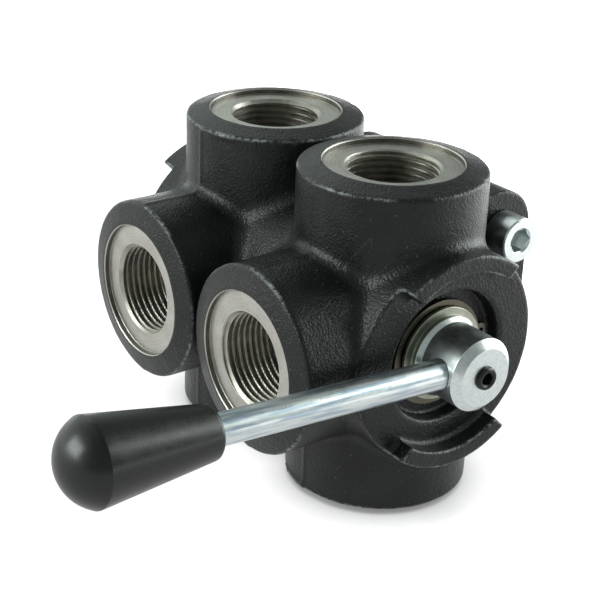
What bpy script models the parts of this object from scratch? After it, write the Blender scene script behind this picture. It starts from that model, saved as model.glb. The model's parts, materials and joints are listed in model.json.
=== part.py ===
"""Six-port rotary diverter valve, worked by one hand lever.

Two identical three-port cast bodies stand one behind the other and are bolted together. Each holds a
rotor with an L-shaped passage, which joins the left port to the top port or to the bottom port. A
spindle, keyed to the front rotor, carries the lever, and a coupling drives the rear rotor.

Everything is drawn round the spindle's axis, which runs along Y. The lever is at -Y, the left ports
face -X, and Y = 0 is the plane of the front body's ports. One empty then lifts the valve, so that it
stands on its two bottom ports with the origin under the middle of its bounding box.
"""

import math

import bmesh
import bpy
from mathutils import Matrix, Vector

# --- Driving dimensions, in metres ---
GAP = 0.0003  # clearance between pieces that touch

BOSS_RADIUS = 0.0320
BOSS_EDGE = 0.0560  # port axis centre to the boss's outer edge
BOSS_RIM = 0.0580  # port axis centre to the rim round the spotface
PITCH = 0.0656  # front port plane to rear port plane
BARREL_RADIUS = 0.0373
FACE = 0.0327  # port plane to the ribbed end face

SPOT_RADIUS = 0.0235
SPOT_DEPTH = 0.0020
THREAD_MAJOR = 0.01662  # G1 pipe thread, radii
THREAD_MINOR = 0.01515
THREAD_DEPTH = 0.0225
PASSAGE_RADIUS = 0.0100

RIB_HEIGHT = 0.0071
RIB_INNER = 0.0313
RECESS_RADIUS = 0.02285
RECESS_FLOOR = 0.0269  # all depths along the spindle are measured from the port plane
SHOULDER = 0.0220
BORE_RADIUS = 0.0221
JOURNAL_RADIUS = 0.01645
RING_SEAT_RADIUS = 0.0249
RING_SEAT_DEPTH = 0.0048

LUG_X = 0.0460
LUG_Z = 0.0250
LUG_RADIUS = 0.0148
LUG_FRONT = -0.0060

SCREW_RADIUS = 0.0050
SCREW_LENGTH = 0.0600
SCREW_HEAD_RADIUS = 0.0080
SCREW_HEAD_HEIGHT = 0.0100
SCREW_SOCKET = 0.0080  # across the hexagon's flats

HUB_RADIUS = 0.01265
HUB_FRONT = 0.0509
ROD_RADIUS = 0.0050
ROD_PLANE = 0.0421
KNOB_START = 0.0995
KNOB_RIDGE = 0.1394
KNOB_END = 0.1485
KNOB_NARROW = 0.0085
KNOB_WIDE = 0.0134
KNOB_BORE_END = 0.1353
ROD_END = 0.1350
SET_SCREW_RADIUS = 0.0037
SET_SCREW_PROUD = 0.0015  # how far it stands out of the hub's nose
SET_SCREW_SOCKET = 0.0040
SET_POINT_RADIUS = 0.0026

LEVER_TILT = math.radians(4)  # the lever at rest, raised above level
LEVER_SWING = math.radians(45)  # either side of level, to each stop

ROTOR_FRONT = 0.0176
ROTOR_REAR = 0.0277
SLOT_LENGTH = 0.0290
SLOT_WIDTH = 0.0086
SLOT_DEPTH = 0.0040
TONGUE_DEPTH = 0.0037
ROTOR_GROOVES = (0.0132, -0.0140)  # towards the ribbed end, towards the joint
SEAL_WIRE = 0.0013
GROOVE_HALF = 0.0017
GROOVE_DEPTH = 0.0028
JOURNAL_COLLAR = 0.0304
JOURNAL_SEAL_RADIUS = 0.01525
JOURNAL_SEAL_WIRE = 0.0010
COUPLING_RADIUS = 0.0158
CENTRING_RING_INNER = 0.0162

CIRCLIP_THICKNESS = 0.0015
CIRCLIP_FACE = 0.0288
CIRCLIP_GROOVE_RADIUS = 0.0150
CIRCLIP_EAR_RADIUS = 0.0206
CIRCLIP_NARROW = 0.0178  # its outer edge beside the ears
CIRCLIP_WIDENING = 0.0014  # how much wider the outer edge is at its back
CIRCLIP_EYE_RADIUS = 0.0009
CIRCLIP_EYE_CENTRE = 0.0186
CIRCLIP_EYE_TURN = math.radians(14)

# --- Places that follow from them ---
JOINT = PITCH / 2
JOINT_FACE = JOINT - GAP / 2
JOURNAL_SEAL = (RECESS_FLOOR + SHOULDER) / 2
ROTOR_RADIUS = BORE_RADIUS - GAP
LEFT_END = -KNOB_END * math.cos(LEVER_TILT)
RIGHT_END = LUG_X + LUG_RADIUS
FRONT_END = -(ROD_PLANE + KNOB_WIDE)
REAR_END = PITCH + FACE + RIB_HEIGHT
STAND = Vector((-(LEFT_END + RIGHT_END) / 2, -(FRONT_END + REAR_END) / 2, BOSS_RIM))

TO_FRONT = Matrix.Rotation(math.pi / 2, 4, "X")  # turns local +Z to -Y
TO_REAR = Matrix.Rotation(-math.pi / 2, 4, "X")
PORTS = {"top": 0.0, "left": -math.pi / 2, "bottom": math.pi}  # turns about Y from +Z
FLIP = Matrix.Translation((0, PITCH, 0)) @ Matrix.Rotation(math.pi, 4, "X")
OFF_SEAM = Matrix.Rotation(math.radians(3), 4, "Z")  # keeps a cutter's edges off the edges it crosses

ROUND = 32  # sides of a large round solid, and of a small one
SMALL_ROUND = 20


def clear_scene():
    for obj in list(bpy.data.objects):
        bpy.data.objects.remove(obj)


def collection(name):
    made = bpy.data.collections.new(name)
    bpy.context.scene.collection.children.link(made)
    return made


def empty(name, parent=None, matrix=Matrix()):
    made = bpy.data.objects.new(name, None)
    PARTS.objects.link(made)
    made.parent = parent
    made.matrix_local = matrix
    return made


def material(name, color, roughness, metallic):
    made = bpy.data.materials.new(name)
    made.use_nodes = True
    shader = made.node_tree.nodes["Principled BSDF"]
    shader.inputs["Base Color"].default_value = (*color, 1)
    shader.inputs["Roughness"].default_value = roughness
    shader.inputs["Metallic"].default_value = metallic
    return made


def place(name, mesh, finish, parent, matrix=Matrix()):
    """A named sub-part. Without a finish it is a cutter, or a shape that is joined to a sub-part."""
    made = bpy.data.objects.new(name, mesh)
    made.parent = parent
    made.matrix_local = matrix
    if finish:
        PARTS.objects.link(made)
        mesh.materials.clear()
        mesh.materials.append(finish)
        mesh.shade_smooth()
        mesh.set_sharp_from_angle(angle=math.radians(35))
    else:
        CUTTERS.objects.link(made)
        made.hide_render = True
        made.display_type = "WIRE"
    return made


def mesh_from(name, build):
    """A mesh filled by a function that works on a bmesh."""
    mesh = bpy.data.meshes.new(name)
    bm = bmesh.new()
    build(bm)
    bmesh.ops.recalc_face_normals(bm, faces=bm.faces)
    bm.to_mesh(mesh)
    bm.free()
    return mesh


def profile_mesh(name, points, closed=False):
    """An open outline, or a loop, of (radius, height) points, running down its outer side."""

    def build(bm):
        verts = [bm.verts.new((radius, 0, height)) for radius, height in points]
        for first, second in zip(verts, verts[1:]):
            bm.edges.new((first, second))
        if closed:
            bm.edges.new((verts[-1], verts[0]))

    return mesh_from(name, build)


def turned(name, points, finish, parent, matrix=Matrix(), closed=False, steps=ROUND):
    """A solid of revolution about its local Z."""
    made = place(name, profile_mesh(name, points, closed), finish, parent, matrix)
    screw = made.modifiers.new("turn", "SCREW")
    screw.steps = steps
    screw.render_steps = steps
    screw.use_merge_vertices = True
    screw.merge_threshold = 0.00001
    screw.use_smooth_shade = True
    return made


def disc(bm, radius, depth, segments, matrix):
    """Adds a closed cylinder, centred on the matrix's origin."""
    bmesh.ops.create_cone(
        bm, cap_ends=True, segments=segments, radius1=radius, radius2=radius, depth=depth, matrix=matrix
    )


def cylinder(name, radius, low, high, finish, parent, matrix=Matrix(), segments=SMALL_ROUND):
    """A plain cylinder along its local Z, from one height to the other."""

    def build(bm):
        disc(bm, radius, high - low, segments, Matrix.Translation((0, 0, (low + high) / 2)))

    return place(name, mesh_from(name, build), finish, parent, matrix)


def ball(name, radius, parent, matrix):
    def build(bm):
        bmesh.ops.create_uvsphere(bm, u_segments=24, v_segments=12, radius=radius)

    return place(name, mesh_from(name, build), None, parent, matrix @ OFF_SEAM)


def box(name, low, high, finish, parent, matrix=Matrix()):
    low, high = Vector(low), Vector(high)
    size = Matrix.Diagonal((*(high - low), 1))

    def build(bm):
        bmesh.ops.create_cube(bm, size=1, matrix=Matrix.Translation((low + high) / 2) @ size)

    return place(name, mesh_from(name, build), finish, parent, matrix)


def change(obj, operation, *others):
    """Cuts or joins the other objects, in turn."""
    for other in others:
        boolean = obj.modifiers.new(other.name, "BOOLEAN")
        boolean.operation = operation
        boolean.object = other
        boolean.solver = "EXACT"
    return obj


def cut(obj, *others):
    return change(obj, "DIFFERENCE", *others)


def join(obj, *others):
    return change(obj, "UNION", *others)


def port_matrix(port):
    return Matrix.Rotation(PORTS[port], 4, "Y")


def boss(name, port, parent):
    """The round boss of one port, solid, from the valve's centre to a shallow cone at its end."""
    land = SPOT_RADIUS + 0.0008
    outline = [(0, BOSS_RIM), (land, BOSS_RIM), (BOSS_RADIUS, BOSS_EDGE), (BOSS_RADIUS, 0), (0, 0)]
    return turned(name, outline, None, parent, port_matrix(port))


def port_cutter(name, port, parent):
    """Spotface, chamfer, tapping bore and the passage into the rotor's bore."""
    floor = BOSS_RIM - SPOT_DEPTH
    chamfer = THREAD_MAJOR + 0.0006
    bottom = BOSS_EDGE - THREAD_DEPTH
    outline = [
        (0, BOSS_RIM + 0.002),
        (SPOT_RADIUS, BOSS_RIM + 0.002),
        (SPOT_RADIUS, floor),
        (chamfer, floor),
        (THREAD_MINOR, floor - (chamfer - THREAD_MINOR)),
        (THREAD_MINOR, bottom),
        (PASSAGE_RADIUS, bottom - (THREAD_MINOR - PASSAGE_RADIUS)),
        (PASSAGE_RADIUS, 0.012),
        (0, 0.012),
    ]
    return turned(name, outline, None, parent, port_matrix(port) @ OFF_SEAM, steps=28)


def rotor_bore_cutter(parent):
    """The bore along the spindle: recess, journal bore, rotor bore and the centring ring's seat."""
    outline = [
        (0, 0.045),
        (RECESS_RADIUS, 0.045),
        (RECESS_RADIUS, RECESS_FLOOR),
        (JOURNAL_RADIUS + GAP, RECESS_FLOOR),
        (JOURNAL_RADIUS + GAP, SHOULDER),
        (BORE_RADIUS, SHOULDER),
        (BORE_RADIUS, RING_SEAT_DEPTH - JOINT),
        (RING_SEAT_RADIUS, RING_SEAT_DEPTH - JOINT),
        (RING_SEAT_RADIUS, -0.036),
        (0, -0.036),
    ]
    return turned("rotor_bore_cutter", outline, None, parent, TO_FRONT @ OFF_SEAM)


def rib_ring(parent):
    """Two crescent ribs: a ring with a wedge cut out at each side, where the lever swings."""
    outline = [
        (BARREL_RADIUS - 0.00005, FACE + RIB_HEIGHT),
        (BARREL_RADIUS - 0.00005, FACE - 0.002),
        (RIB_INNER, FACE - 0.002),
        (RIB_INNER, FACE + RIB_HEIGHT),
    ]
    ring = turned("rib_ring", outline, None, parent, TO_FRONT @ OFF_SEAM, closed=True)
    depth = ROD_PLANE - FACE - RIB_HEIGHT
    flank = math.sqrt(ROD_RADIUS**2 - depth**2) + GAP
    reach = 0.060
    for side, turn in (("left", LEVER_SWING * 3), ("right", -LEVER_SWING)):
        # The wedge's flanks lie along the rod where it meets the ribs, so its corner is past the axis.
        corner = Matrix.Rotation(-turn, 4, "Y") @ Matrix.Translation((-flank, 0, -flank))
        low, high = (0, -0.050, 0), (reach, -0.025, reach)
        cut(ring, box(f"rib_gap_{side}", low, high, None, parent, corner))
    return ring


def lug(parent):
    """The flat-sided boss for the two tie screws: the hull of the barrel and two round ends."""

    def build(bm):
        depth = JOINT_FACE - LUG_FRONT
        for radius, x, z in (
            (BARREL_RADIUS - 0.0006, 0, 0),
            (LUG_RADIUS, LUG_X, LUG_Z),
            (LUG_RADIUS, LUG_X, -LUG_Z),
        ):
            middle = Matrix.Translation((x, LUG_FRONT + depth / 2, z)) @ TO_FRONT @ OFF_SEAM
            disc(bm, radius, depth, ROUND, middle)
        hull = bmesh.ops.convex_hull(bm, input=bm.verts)
        spare = set(hull["geom_interior"]) | set(hull["geom_unused"])
        inside = [item for item in spare if isinstance(item, bmesh.types.BMVert)]
        bmesh.ops.delete(bm, geom=inside, context="VERTS")
        bmesh.ops.delete(bm, geom=list(hull["geom_holes"]), context="FACES")
        bmesh.ops.dissolve_limit(bm, angle_limit=0.001, verts=bm.verts, edges=bm.edges)

    return place("lug", mesh_from("lug", build), None, parent)


def screw_holes(parent):
    """The upper hole clears a tie screw and the lower one is tapped. Both run along Y."""
    upper = Matrix.Translation((LUG_X, 0, LUG_Z)) @ TO_REAR
    lower = Matrix.Translation((LUG_X, 0, -LUG_Z)) @ TO_REAR
    clear = cylinder("clear_hole", SCREW_RADIUS + 0.0005, LUG_FRONT - 0.001, 0.034, None, parent, upper)
    tapped = cylinder("tapped_hole", SCREW_RADIUS - 0.0005, 0.0066, 0.034, None, parent, lower)
    return clear, tapped


def valve_body(name, finish, parent, matrix):
    """One three-port casting. The rear one is the same casting turned over about the left ports' axis."""
    turn = empty(f"{name}_frame", parent, matrix)
    barrel = [(0, FACE), (BARREL_RADIUS, FACE), (BARREL_RADIUS, -JOINT_FACE), (0, -JOINT_FACE)]
    body = turned(name, barrel, finish, turn, TO_FRONT)
    join(body, *(boss(f"{port}_boss", port, turn) for port in PORTS))
    join(body, lug(turn), rib_ring(turn))
    cut(body, rotor_bore_cutter(turn))
    cut(body, *(port_cutter(f"{port}_port", port, turn) for port in PORTS))
    return cut(body, *screw_holes(turn))


def hexagon_cutter(name, across, low, high, parent, matrix):
    return cylinder(name, across / math.sqrt(3), low, high, None, parent, matrix, segments=6)


def tie_screw(name, finish, parent, matrix):
    """Socket-head screw: its head is at the lug's face and its threaded end is drawn at the root."""
    root = SCREW_RADIUS - 0.0005 - GAP
    seat = -LUG_FRONT + GAP
    top = seat + SCREW_HEAD_HEIGHT
    plain = seat - 0.034
    tip = seat - SCREW_LENGTH
    outline = [
        (0, top),
        (SCREW_HEAD_RADIUS - 0.0008, top),
        (SCREW_HEAD_RADIUS, top - 0.0008),
        (SCREW_HEAD_RADIUS, seat),
        (SCREW_RADIUS, seat),
        (SCREW_RADIUS, plain),
        (root, plain - 0.0007),
        (root, tip + 0.001),
        (root - 0.001, tip),
        (0, tip),
    ]
    middle = matrix @ Matrix.Translation((LUG_X, 0, LUG_Z)) @ TO_FRONT
    screw = turned(name, outline, finish, parent, middle, steps=SMALL_ROUND)
    socket = hexagon_cutter(f"{name}_socket", SCREW_SOCKET, top - 0.005, top + 0.002, parent, middle)
    return cut(screw, socket)


def tongue(name, low, high, parent, matrix):
    """A flat drive key across the spindle's axis."""
    half_length = SLOT_LENGTH / 2 - GAP
    half_width = SLOT_WIDTH / 2 - GAP
    return box(name, (-half_length, -half_width, low), (half_length, half_width, high), None, parent, matrix)


def seal_groove(height, radius, depth=GROOVE_DEPTH, half=GROOVE_HALF):
    """Profile points of a square groove, from its upper edge down."""
    return [
        (radius, height + half),
        (radius - depth, height + half),
        (radius - depth, height - half),
        (radius, height - half),
    ]


def journal_points():
    """The end of a spindle or plug, from its collar down to the shoulder inside the body."""
    groove = CIRCLIP_FACE - CIRCLIP_THICKNESS - GAP
    shoulder_top = SHOULDER - 0.0016
    return [
        (JOURNAL_RADIUS - 0.0002, JOURNAL_COLLAR),
        (JOURNAL_RADIUS, JOURNAL_COLLAR - 0.0002),
        (JOURNAL_RADIUS, CIRCLIP_FACE + GAP),
        (CIRCLIP_GROOVE_RADIUS, CIRCLIP_FACE + GAP),
        (CIRCLIP_GROOVE_RADIUS, groove),
        (JOURNAL_RADIUS, groove),
        *seal_groove(JOURNAL_SEAL, JOURNAL_RADIUS, 0.0025, 0.0014),
        (JOURNAL_RADIUS, shoulder_top),
        (ROTOR_RADIUS - 0.0002, shoulder_top),
        (ROTOR_RADIUS - 0.0002, ROTOR_FRONT + GAP),
        (0, ROTOR_FRONT + GAP),
    ]


def spindle(finish, parent):
    """Lever hub, journal and the tongue that drives the front rotor, in one turned piece."""
    skirt = HUB_RADIUS + 0.00135
    hub = [
        (0, HUB_FRONT),
        (HUB_RADIUS - 0.0026, HUB_FRONT),
        (HUB_RADIUS, HUB_FRONT - 0.0025),
        (HUB_RADIUS, 0.03395),
        (skirt, 0.0326),
        (skirt, JOURNAL_COLLAR),
    ]
    made = turned("spindle", hub + journal_points(), finish, parent, TO_FRONT)
    tongue_tip = ROTOR_FRONT + GAP - TONGUE_DEPTH
    join(made, tongue("spindle_tongue", tongue_tip, ROTOR_FRONT + 0.001, parent, TO_FRONT))
    along_rod = Matrix.Translation((0, -ROD_PLANE, 0)) @ port_matrix("left")
    rod_hole = cylinder("rod_hole", ROD_RADIUS + GAP, -0.0090, 0.020, None, parent, along_rod)
    set_hole = cylinder(
        "set_screw_hole", SET_SCREW_RADIUS + GAP, ROD_PLANE, HUB_FRONT + 0.001, None, parent, TO_FRONT
    )
    return cut(made, rod_hole, set_hole)


def end_plug(finish, parent):
    """The blank journal that closes the rear body."""
    return turned("end_plug", [(0, JOURNAL_COLLAR)] + journal_points(), finish, parent, TO_FRONT)


def rotor(name, finish, parent, matrix):
    """Cylinder with two passages at right angles, either side of the lever, and a slot in each end."""
    outline = [(0, ROTOR_FRONT), (ROTOR_RADIUS, ROTOR_FRONT)]
    for height in ROTOR_GROOVES:
        outline += seal_groove(height, ROTOR_RADIUS)
    outline += [(ROTOR_RADIUS, -ROTOR_REAR), (0, -ROTOR_REAR)]
    made = turned(name, outline, finish, parent, matrix @ TO_FRONT)
    cut(made, ball(f"{name}_elbow", PASSAGE_RADIUS + 0.0004, parent, matrix))
    for side, turn in (("upper", LEVER_SWING), ("lower", -LEVER_SWING)):
        along = matrix @ Matrix.Rotation(turn, 4, "Y") @ port_matrix("left")
        cut(made, cylinder(f"{name}_{side}_passage", PASSAGE_RADIUS, 0, 0.030, None, parent, along, ROUND))
    half = SLOT_LENGTH / 2
    wide = SLOT_WIDTH / 2
    for end, low, high in (
        ("front", ROTOR_FRONT - SLOT_DEPTH, ROTOR_FRONT + 0.002),
        ("rear", -ROTOR_REAR - 0.002, SLOT_DEPTH - ROTOR_REAR),
    ):
        turn = matrix @ TO_FRONT
        cut(made, box(f"{name}_{end}_slot", (-half, -wide, low), (half, wide, high), None, parent, turn))
    return made


def drive_coupling(finish, parent):
    """Round key between the rotors: a disc in the centring ring, with a tongue each way."""
    half = JOINT - ROTOR_REAR - GAP
    at_joint = Matrix.Translation((0, JOINT, 0)) @ TO_FRONT
    made = cylinder("drive_coupling", COUPLING_RADIUS, -half, half, finish, parent, at_joint, ROUND)
    reach = half + TONGUE_DEPTH
    return join(made, tongue("coupling_tongues", -reach, reach, parent, at_joint))


def centring_ring(finish, parent):
    """Ring let into both bodies at the joint, which lines them up. Its groove holds the joint's seal."""
    outer = RING_SEAT_RADIUS - GAP
    inner = CENTRING_RING_INNER
    half = RING_SEAT_DEPTH - GAP
    outline = [(outer, half), *seal_groove(0, outer), (outer, -half), (inner, -half), (inner, half)]
    at_joint = Matrix.Translation((0, JOINT, 0)) @ TO_FRONT
    return turned("centring_ring", outline, finish, parent, at_joint, closed=True)


def seal_ring(name, major, wire, height, finish, parent, matrix=Matrix()):
    """Rubber ring of round section round the spindle's axis."""
    points = [
        (major + wire * math.cos(turn), wire * math.sin(turn))
        for turn in (-2 * math.pi * step / 6 for step in range(6))
    ]
    middle = matrix @ Matrix.Translation((0, -height, 0)) @ TO_FRONT
    return turned(name, points, finish, parent, middle, closed=True)


def thrust_washer(name, finish, parent, matrix):
    top = SHOULDER - GAP
    low = top - 0.0010
    outer = BORE_RADIUS - GAP
    inner = JOURNAL_RADIUS + 2 * GAP
    outline = [(outer, top), (outer, low), (inner, low), (inner, top)]
    return turned(name, outline, finish, parent, matrix @ TO_FRONT, closed=True, steps=ROUND)


def circlip_outline():
    """Half of the outline of an external retaining ring, from its gap round to its back, in (x, z)."""
    inner = CIRCLIP_GROOVE_RADIUS + GAP
    ear_radius = CIRCLIP_EAR_RADIUS
    gap = CIRCLIP_EYE_TURN - math.radians(8)
    ear_end = CIRCLIP_EYE_TURN + math.radians(8)
    back_start = ear_end + math.radians(4)

    def polar(radius, turn):
        return radius * math.cos(turn), radius * math.sin(turn)

    ear = [
        polar(inner, gap),
        polar(ear_radius - 0.0010, gap),
        polar(ear_radius, gap + math.radians(3)),
        polar(ear_radius, ear_end - math.radians(4)),
        polar(ear_radius - 0.0012, ear_end),
    ]
    back = []
    for step in range(13):
        turn = back_start + (math.pi - back_start) * step / 12
        back.append(polar(CIRCLIP_NARROW + CIRCLIP_WIDENING * (1 - math.cos(turn)) / 2, turn))
    hollow = [polar(inner, math.pi - (math.pi - gap) * step / 14) for step in range(14)]
    return ear + back, hollow


def circlip_eye(turn):
    """The round hole in one ear, that the pliers go into."""
    x = CIRCLIP_EYE_CENTRE * math.cos(turn)
    z = CIRCLIP_EYE_CENTRE * math.sin(turn)
    angles = (2 * math.pi * step / 10 for step in range(10))
    radius = CIRCLIP_EYE_RADIUS
    return [(x + radius * math.cos(angle), z + radius * math.sin(angle)) for angle in angles]


def circlip(name, finish, parent, gap_turn):
    """External retaining ring: a flat curve with an ear and an eye at each side of its gap."""
    outside, hollow = circlip_outline()
    mirrored_outside = [(x, -z) for x, z in reversed(outside[:-1])]
    mirrored_hollow = [(x, -z) for x, z in reversed(hollow[1:])]
    eyes = [circlip_eye(CIRCLIP_EYE_TURN), circlip_eye(-CIRCLIP_EYE_TURN)]
    curve = bpy.data.curves.new(name, "CURVE")
    curve.dimensions = "2D"
    curve.fill_mode = "BOTH"
    curve.extrude = CIRCLIP_THICKNESS / 2
    for points in (outside + mirrored_outside + mirrored_hollow + hollow, *eyes):
        spline = curve.splines.new("POLY")
        spline.points.add(len(points) - 1)
        for point, (x, y) in zip(spline.points, points):
            point.co = (x, y, 0, 1)
        spline.use_cyclic_u = True
    made = bpy.data.objects.new(name, curve)
    PARTS.objects.link(made)
    curve.materials.append(finish)
    made.parent = parent
    height = Matrix.Translation((0, CIRCLIP_THICKNESS / 2 - CIRCLIP_FACE, 0))
    made.matrix_local = height @ Matrix.Rotation(-gap_turn, 4, "Y") @ TO_FRONT
    return made


def lever_rod(finish, parent):
    """Plain rod from the hub into the knob, with a hole that the set screw's point enters."""
    along = Matrix.Translation((0, -ROD_PLANE, 0)) @ port_matrix("left")
    made = cylinder("lever_rod", ROD_RADIUS, -0.0085, ROD_END, finish, parent, along)
    radius, low, high = SET_POINT_RADIUS + GAP, ROD_PLANE - 0.0016, ROD_PLANE + 0.008
    return cut(made, cylinder("point_hole", radius, low, high, None, parent, TO_FRONT))


def lever_knob(finish, parent):
    """Tapered grip with a domed end, bored for the rod."""
    bore = ROD_RADIUS + GAP
    dome_height = KNOB_END - KNOB_RIDGE
    sphere = (KNOB_WIDE**2 + dome_height**2) / (2 * dome_height)
    dome = []
    for step in range(7):
        radius = KNOB_WIDE * step / 6
        dome.append((radius, KNOB_END - sphere + math.sqrt(sphere**2 - radius**2)))
    narrow = [
        (KNOB_NARROW, KNOB_START + 0.0015),
        (KNOB_NARROW - 0.0005, KNOB_START + 0.0005),
        (KNOB_NARROW - 0.0015, KNOB_START),
        (bore, KNOB_START),
        (bore, KNOB_BORE_END),
        (0, KNOB_BORE_END),
    ]
    along = Matrix.Translation((0, -ROD_PLANE, 0)) @ port_matrix("left")
    return turned("lever_knob", dome + narrow, finish, parent, along, steps=24)


def set_screw(finish, parent):
    """Grub screw in the hub's nose, with a long point that locks the rod."""
    top = HUB_FRONT + SET_SCREW_PROUD
    neck = ROD_PLANE + ROD_RADIUS + GAP
    outline = [
        (0, top),
        (SET_SCREW_RADIUS - 0.0004, top),
        (SET_SCREW_RADIUS, top - 0.0004),
        (SET_SCREW_RADIUS, neck + 0.0008),
        (SET_POINT_RADIUS, neck),
        (SET_POINT_RADIUS, ROD_PLANE - 0.0010),
        (0, ROD_PLANE - 0.0010),
    ]
    made = turned("lever_set_screw", outline, finish, parent, TO_FRONT, steps=SMALL_ROUND)
    low, high = top - 0.0025, top + 0.001
    socket = hexagon_cutter("set_screw_socket", SET_SCREW_SOCKET, low, high, parent, TO_FRONT)
    return cut(made, socket)


def static_parts(stand, iron, zinc, steel, bronze, rubber, spring_steel):
    valve_body("front_body", iron, stand, Matrix())
    valve_body("rear_body", iron, stand, FLIP)
    tie_screw("front_tie_screw", zinc, stand, Matrix())
    tie_screw("rear_tie_screw", zinc, stand, FLIP)
    centring_ring(steel, stand)
    joint_seal_radius = RING_SEAT_RADIUS - GAP - SEAL_WIRE - 0.0001
    seal_ring("joint_seal", joint_seal_radius, SEAL_WIRE, -JOINT, rubber, stand)
    thrust_washer("front_thrust_washer", bronze, stand, Matrix())
    thrust_washer("rear_thrust_washer", bronze, stand, FLIP)
    plug_frame = empty("end_plug_frame", stand, FLIP)
    end_plug(steel, plug_frame)
    circlip("end_plug_circlip", spring_steel, plug_frame, math.radians(90))
    seal_ring("end_plug_seal", JOURNAL_SEAL_RADIUS, JOURNAL_SEAL_WIRE, JOURNAL_SEAL, rubber, plug_frame)


def moving_parts(stand, zinc, black_steel, plastic, steel, rubber, spring_steel):
    """Everything that turns with the lever hangs on one empty on the spindle's axis."""
    axis = empty("lever_axis", stand, Matrix.Rotation(LEVER_TILT, 4, "Y"))
    spindle(zinc, axis)
    lever_rod(zinc, axis)
    lever_knob(plastic, axis)
    set_screw(black_steel, axis)
    circlip("spindle_circlip", spring_steel, axis, 0)
    seal_ring("spindle_seal", JOURNAL_SEAL_RADIUS, JOURNAL_SEAL_WIRE, JOURNAL_SEAL, rubber, axis)
    drive_coupling(steel, axis)
    for name, matrix in (("front", Matrix()), ("rear", FLIP)):
        rotor(f"{name}_rotor", steel, axis, matrix)
        for side, height in zip(("outer", "inner"), ROTOR_GROOVES):
            major = ROTOR_RADIUS - SEAL_WIRE + 0.0001
            seal_ring(f"{name}_rotor_{side}_seal", major, SEAL_WIRE, height, rubber, axis, matrix)


def main():
    iron = material("black_cast_iron", (0.022, 0.023, 0.025), 0.55, 0.3)
    zinc = material("zinc_plate", (0.72, 0.74, 0.76), 0.28, 1.0)
    steel = material("turned_steel", (0.50, 0.50, 0.48), 0.35, 1.0)
    bronze = material("bronze", (0.50, 0.33, 0.16), 0.4, 1.0)
    rubber = material("black_rubber", (0.015, 0.015, 0.015), 0.7, 0.0)
    spring_steel = material("spring_steel", (0.30, 0.27, 0.22), 0.4, 1.0)
    black_steel = material("black_screw", (0.02, 0.02, 0.02), 0.4, 0.6)
    plastic = material("black_plastic", (0.018, 0.018, 0.019), 0.38, 0.0)
    stand = empty("valve_stand", None, Matrix.Translation(STAND))
    static_parts(stand, iron, zinc, steel, bronze, rubber, spring_steel)
    moving_parts(stand, zinc, black_steel, plastic, steel, rubber, spring_steel)


clear_scene()
PARTS = collection("rotary_diverter_valve")
CUTTERS = collection("cutters")
CUTTERS.hide_render = True
main()
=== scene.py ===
"""Looks for the six-port rotary diverter valve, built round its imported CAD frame.

Shapes are drawn in metres in the valve's own frame, as the CAD draws them: the spindle's axis runs along Y
through the origin, the lever is at -Y, the left ports face -X, and Y = 0 is the plane of the front ports.
"""

import json
import math

import bmesh
import bpy
import numpy as np
from mathutils import Matrix, Vector, noise


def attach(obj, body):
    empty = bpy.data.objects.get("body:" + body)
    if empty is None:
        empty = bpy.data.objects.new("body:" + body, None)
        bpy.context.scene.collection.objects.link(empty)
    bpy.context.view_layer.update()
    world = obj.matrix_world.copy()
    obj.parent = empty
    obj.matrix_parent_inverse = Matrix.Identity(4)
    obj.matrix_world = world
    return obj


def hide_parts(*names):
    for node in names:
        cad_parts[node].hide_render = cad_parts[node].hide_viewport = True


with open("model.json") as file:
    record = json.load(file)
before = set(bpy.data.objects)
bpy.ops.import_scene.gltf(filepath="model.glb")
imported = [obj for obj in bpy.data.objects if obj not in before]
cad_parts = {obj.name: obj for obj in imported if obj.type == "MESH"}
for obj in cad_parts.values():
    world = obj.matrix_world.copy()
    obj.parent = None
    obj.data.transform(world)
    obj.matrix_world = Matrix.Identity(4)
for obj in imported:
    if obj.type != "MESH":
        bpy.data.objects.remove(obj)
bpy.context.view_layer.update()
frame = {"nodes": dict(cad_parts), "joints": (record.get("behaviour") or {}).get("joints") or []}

# --- Dimensions, as in the CAD. GAP lies between fitted pieces. CLEAR is a cutter's reach past a face. ---
GAP = 0.0003
CLEAR = 0.001
BOSS_RADIUS = 0.0320
BOSS_EDGE = 0.0560
BOSS_RIM = 0.0580
PITCH = 0.0656
BARREL_RADIUS = 0.0373
FACE = 0.0327
SPOT_RADIUS = 0.0235
SPOT_FLOOR = 0.0560
THREAD_MAJOR = 0.01662
THREAD_MINOR = 0.01515
THREAD_DEPTH = 0.0225
PORT_THREAD_PITCH = 0.002309
PASSAGE_RADIUS = 0.0100
RIB_HEIGHT = 0.0071
RIB_INNER = 0.0313
RIB_FLANK = 0.00474
RECESS_RADIUS = 0.02285
RECESS_FLOOR = 0.0269
SHOULDER = 0.0220
BORE_RADIUS = 0.0221
JOURNAL_RADIUS = 0.01645
RING_SEAT_RADIUS = 0.0249
RING_SEAT_DEPTH = 0.0048
LUG_X = 0.0460
LUG_Z = 0.0250
LUG_RADIUS = 0.0148
LUG_FRONT = -0.0060
LUG_TANGENT_RADIUS = BARREL_RADIUS - 0.0016
LEFT_BOSS_END = 0.004
SCREW_RADIUS = 0.0050
SCREW_ROOT = SCREW_RADIUS - 0.0005
SCREW_LENGTH = 0.0600
SCREW_PLAIN_LENGTH = 0.0340
SCREW_HEAD_RADIUS = 0.0080
SCREW_HEAD_HEIGHT = 0.0100
SCREW_SOCKET = 0.0080
SCREW_SOCKET_DEPTH = 0.0050
TAPPED_HOLE_END = 0.0066
HUB_RADIUS = 0.01265
HUB_FRONT = 0.0509
HUB_NOSE_RADIUS = 0.01005
HUB_NOSE_START = 0.0484
SKIRT_RADIUS = 0.0140
SKIRT_CONE = (0.03395, 0.0326)
SKIRT_UNDERSIDE = 0.0316
FILM_TOP = 0.0325
ROD_RADIUS = 0.0050
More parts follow.
